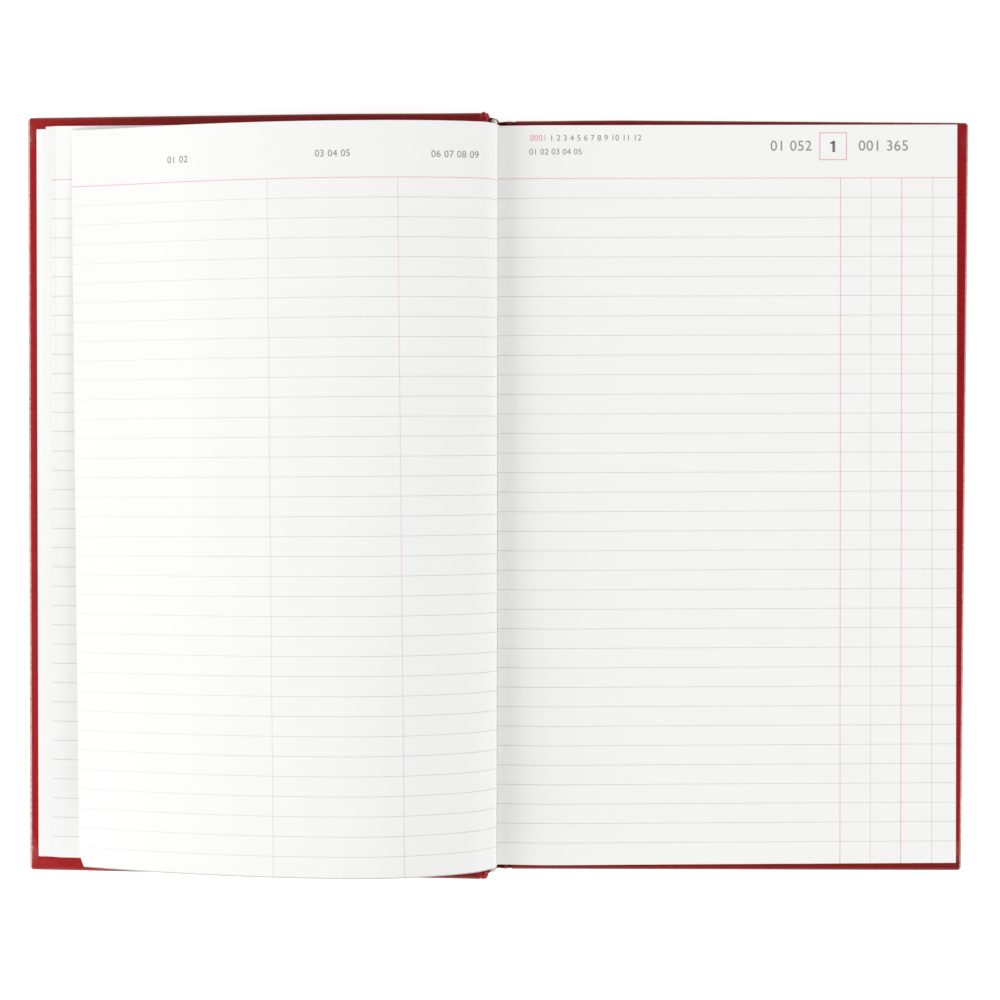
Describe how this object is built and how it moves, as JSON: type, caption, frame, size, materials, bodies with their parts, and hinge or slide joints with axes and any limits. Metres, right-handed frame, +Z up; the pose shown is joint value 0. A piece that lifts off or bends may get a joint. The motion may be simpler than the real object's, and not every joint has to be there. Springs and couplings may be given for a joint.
{
  "type": "diary",
  "caption": "Case-bound page-a-day diary lying open near its front, with hinged covers, a sewn text block and leaves that turn.",
  "frame": {"origin": "middle of the footprint, on the table", "axes": "+X across the book from the gutter to the day page's fore edge, +Y towards the head of the pages, +Z up from the table"},
  "size_m": [0.3962, 0.318, 0.0467],
  "materials": {
    "leather_cloth": "red grained bonded leather, semi-gloss",
    "grey_board": "grey binder's board, matt",
    "spine_card": "manila card, matt",
    "page_paper": "white writing paper with grey ruling, matt",
    "endpaper": "plain white endpaper, matt",
    "gauze": "starched cotton gauze",
    "kraft_paper": "brown kraft paper",
    "cotton": "off-white cotton"
  },
  "bodies": {
    "back_cover": {"back_board": "grey_board", "back_cover_skin": "leather_cloth", "back_mull_flange": "gauze", "back_pastedown": "endpaper", "back_joint_skin": "leather_cloth", "back_endpaper_joint": "endpaper"},
    "text_block": {"back_flyleaf": "endpaper", "section_01": "page_paper", "section_02": "page_paper", "section_03": "page_paper", "section_04": "page_paper", "section_05": "page_paper", "section_06": "page_paper", "section_07": "page_paper", "section_08": "page_paper", "section_09": "page_paper", "section_10": "page_paper", "section_11": "page_paper", "section_12": "page_paper", "sewing_thread": "cotton", "headband": "cotton", "tailband": "cotton", "spine_mull": "gauze", "spine_lining": "kraft_paper", "spine_card": "spine_card", "spine_skin": "leather_cloth"},
    "front_cover": {"front_board": "grey_board", "front_cover_skin": "leather_cloth", "front_mull_flange": "gauze", "front_pastedown": "endpaper", "front_joint_skin": "leather_cloth", "front_endpaper_joint": "endpaper"},
    "front_flyleaf": {"front_flyleaf": "endpaper"},
    "lower_leaf": {"lower_leaf": "page_paper"},
    "middle_leaf": {"middle_leaf": "page_paper"},
    "address_leaf": {"address_leaf": "page_paper"},
    "first_day_leaf": {"first_day_leaf": "page_paper"}
  },
  "joints": [
    {"name": "back_cover_hinge", "type": "hinge", "parent": "back_cover", "child": "text_block", "pos_m": [0.00115, 0, 0.00105], "axis": [0, -1, 0], "range_deg": [0, 85], "deforming": ["back_joint_skin", "back_endpaper_joint"]},
    {"name": "front_cover_hinge", "type": "hinge", "parent": "text_block", "child": "front_cover", "pos_m": [-0.00055, 0, 0.0242], "axis": [0, 1, 0], "range_deg": [0, 186.69], "deforming": ["front_joint_skin", "front_endpaper_joint", "front_flyleaf", "lower_leaf", "middle_leaf", "address_leaf"]},
    {"name": "front_flyleaf_turn", "type": "hinge", "parent": "text_block", "child": "front_flyleaf", "pos_m": [-0.00105, 0, 0.0188], "axis": [0, 1, 0], "range_deg": [0, 180], "deforming": ["front_flyleaf"]},
    {"name": "lower_leaf_turn", "type": "hinge", "parent": "front_flyleaf", "child": "lower_leaf", "pos_m": [-0.00105, 0, 0.0188], "axis": [0, -1, 0], "range_deg": [-66, 0], "deforming": ["lower_leaf"]},
    {"name": "middle_leaf_turn", "type": "hinge", "parent": "front_flyleaf", "child": "middle_leaf", "pos_m": [-0.00105, 0, 0.0188], "axis": [0, -1, 0], "range_deg": [-73, 0], "deforming": ["middle_leaf"]},
    {"name": "address_leaf_turn", "type": "hinge", "parent": "front_flyleaf", "child": "address_leaf", "pos_m": [-0.00105, 0, 0.0188], "axis": [0, -1, 0], "range_deg": [-80, 0], "deforming": ["address_leaf"]},
    {"name": "first_day_leaf_turn", "type": "hinge", "parent": "text_block", "child": "first_day_leaf", "pos_m": [-0.00015, 0, 0.0187], "axis": [0, 1, 0], "range_deg": [-75, 0], "deforming": ["first_day_leaf"]}
  ],
  "couplings": [
    {"joint": "front_flyleaf_turn", "follows": "front_cover_hinge", "ratio": 0.96417}
  ]
}
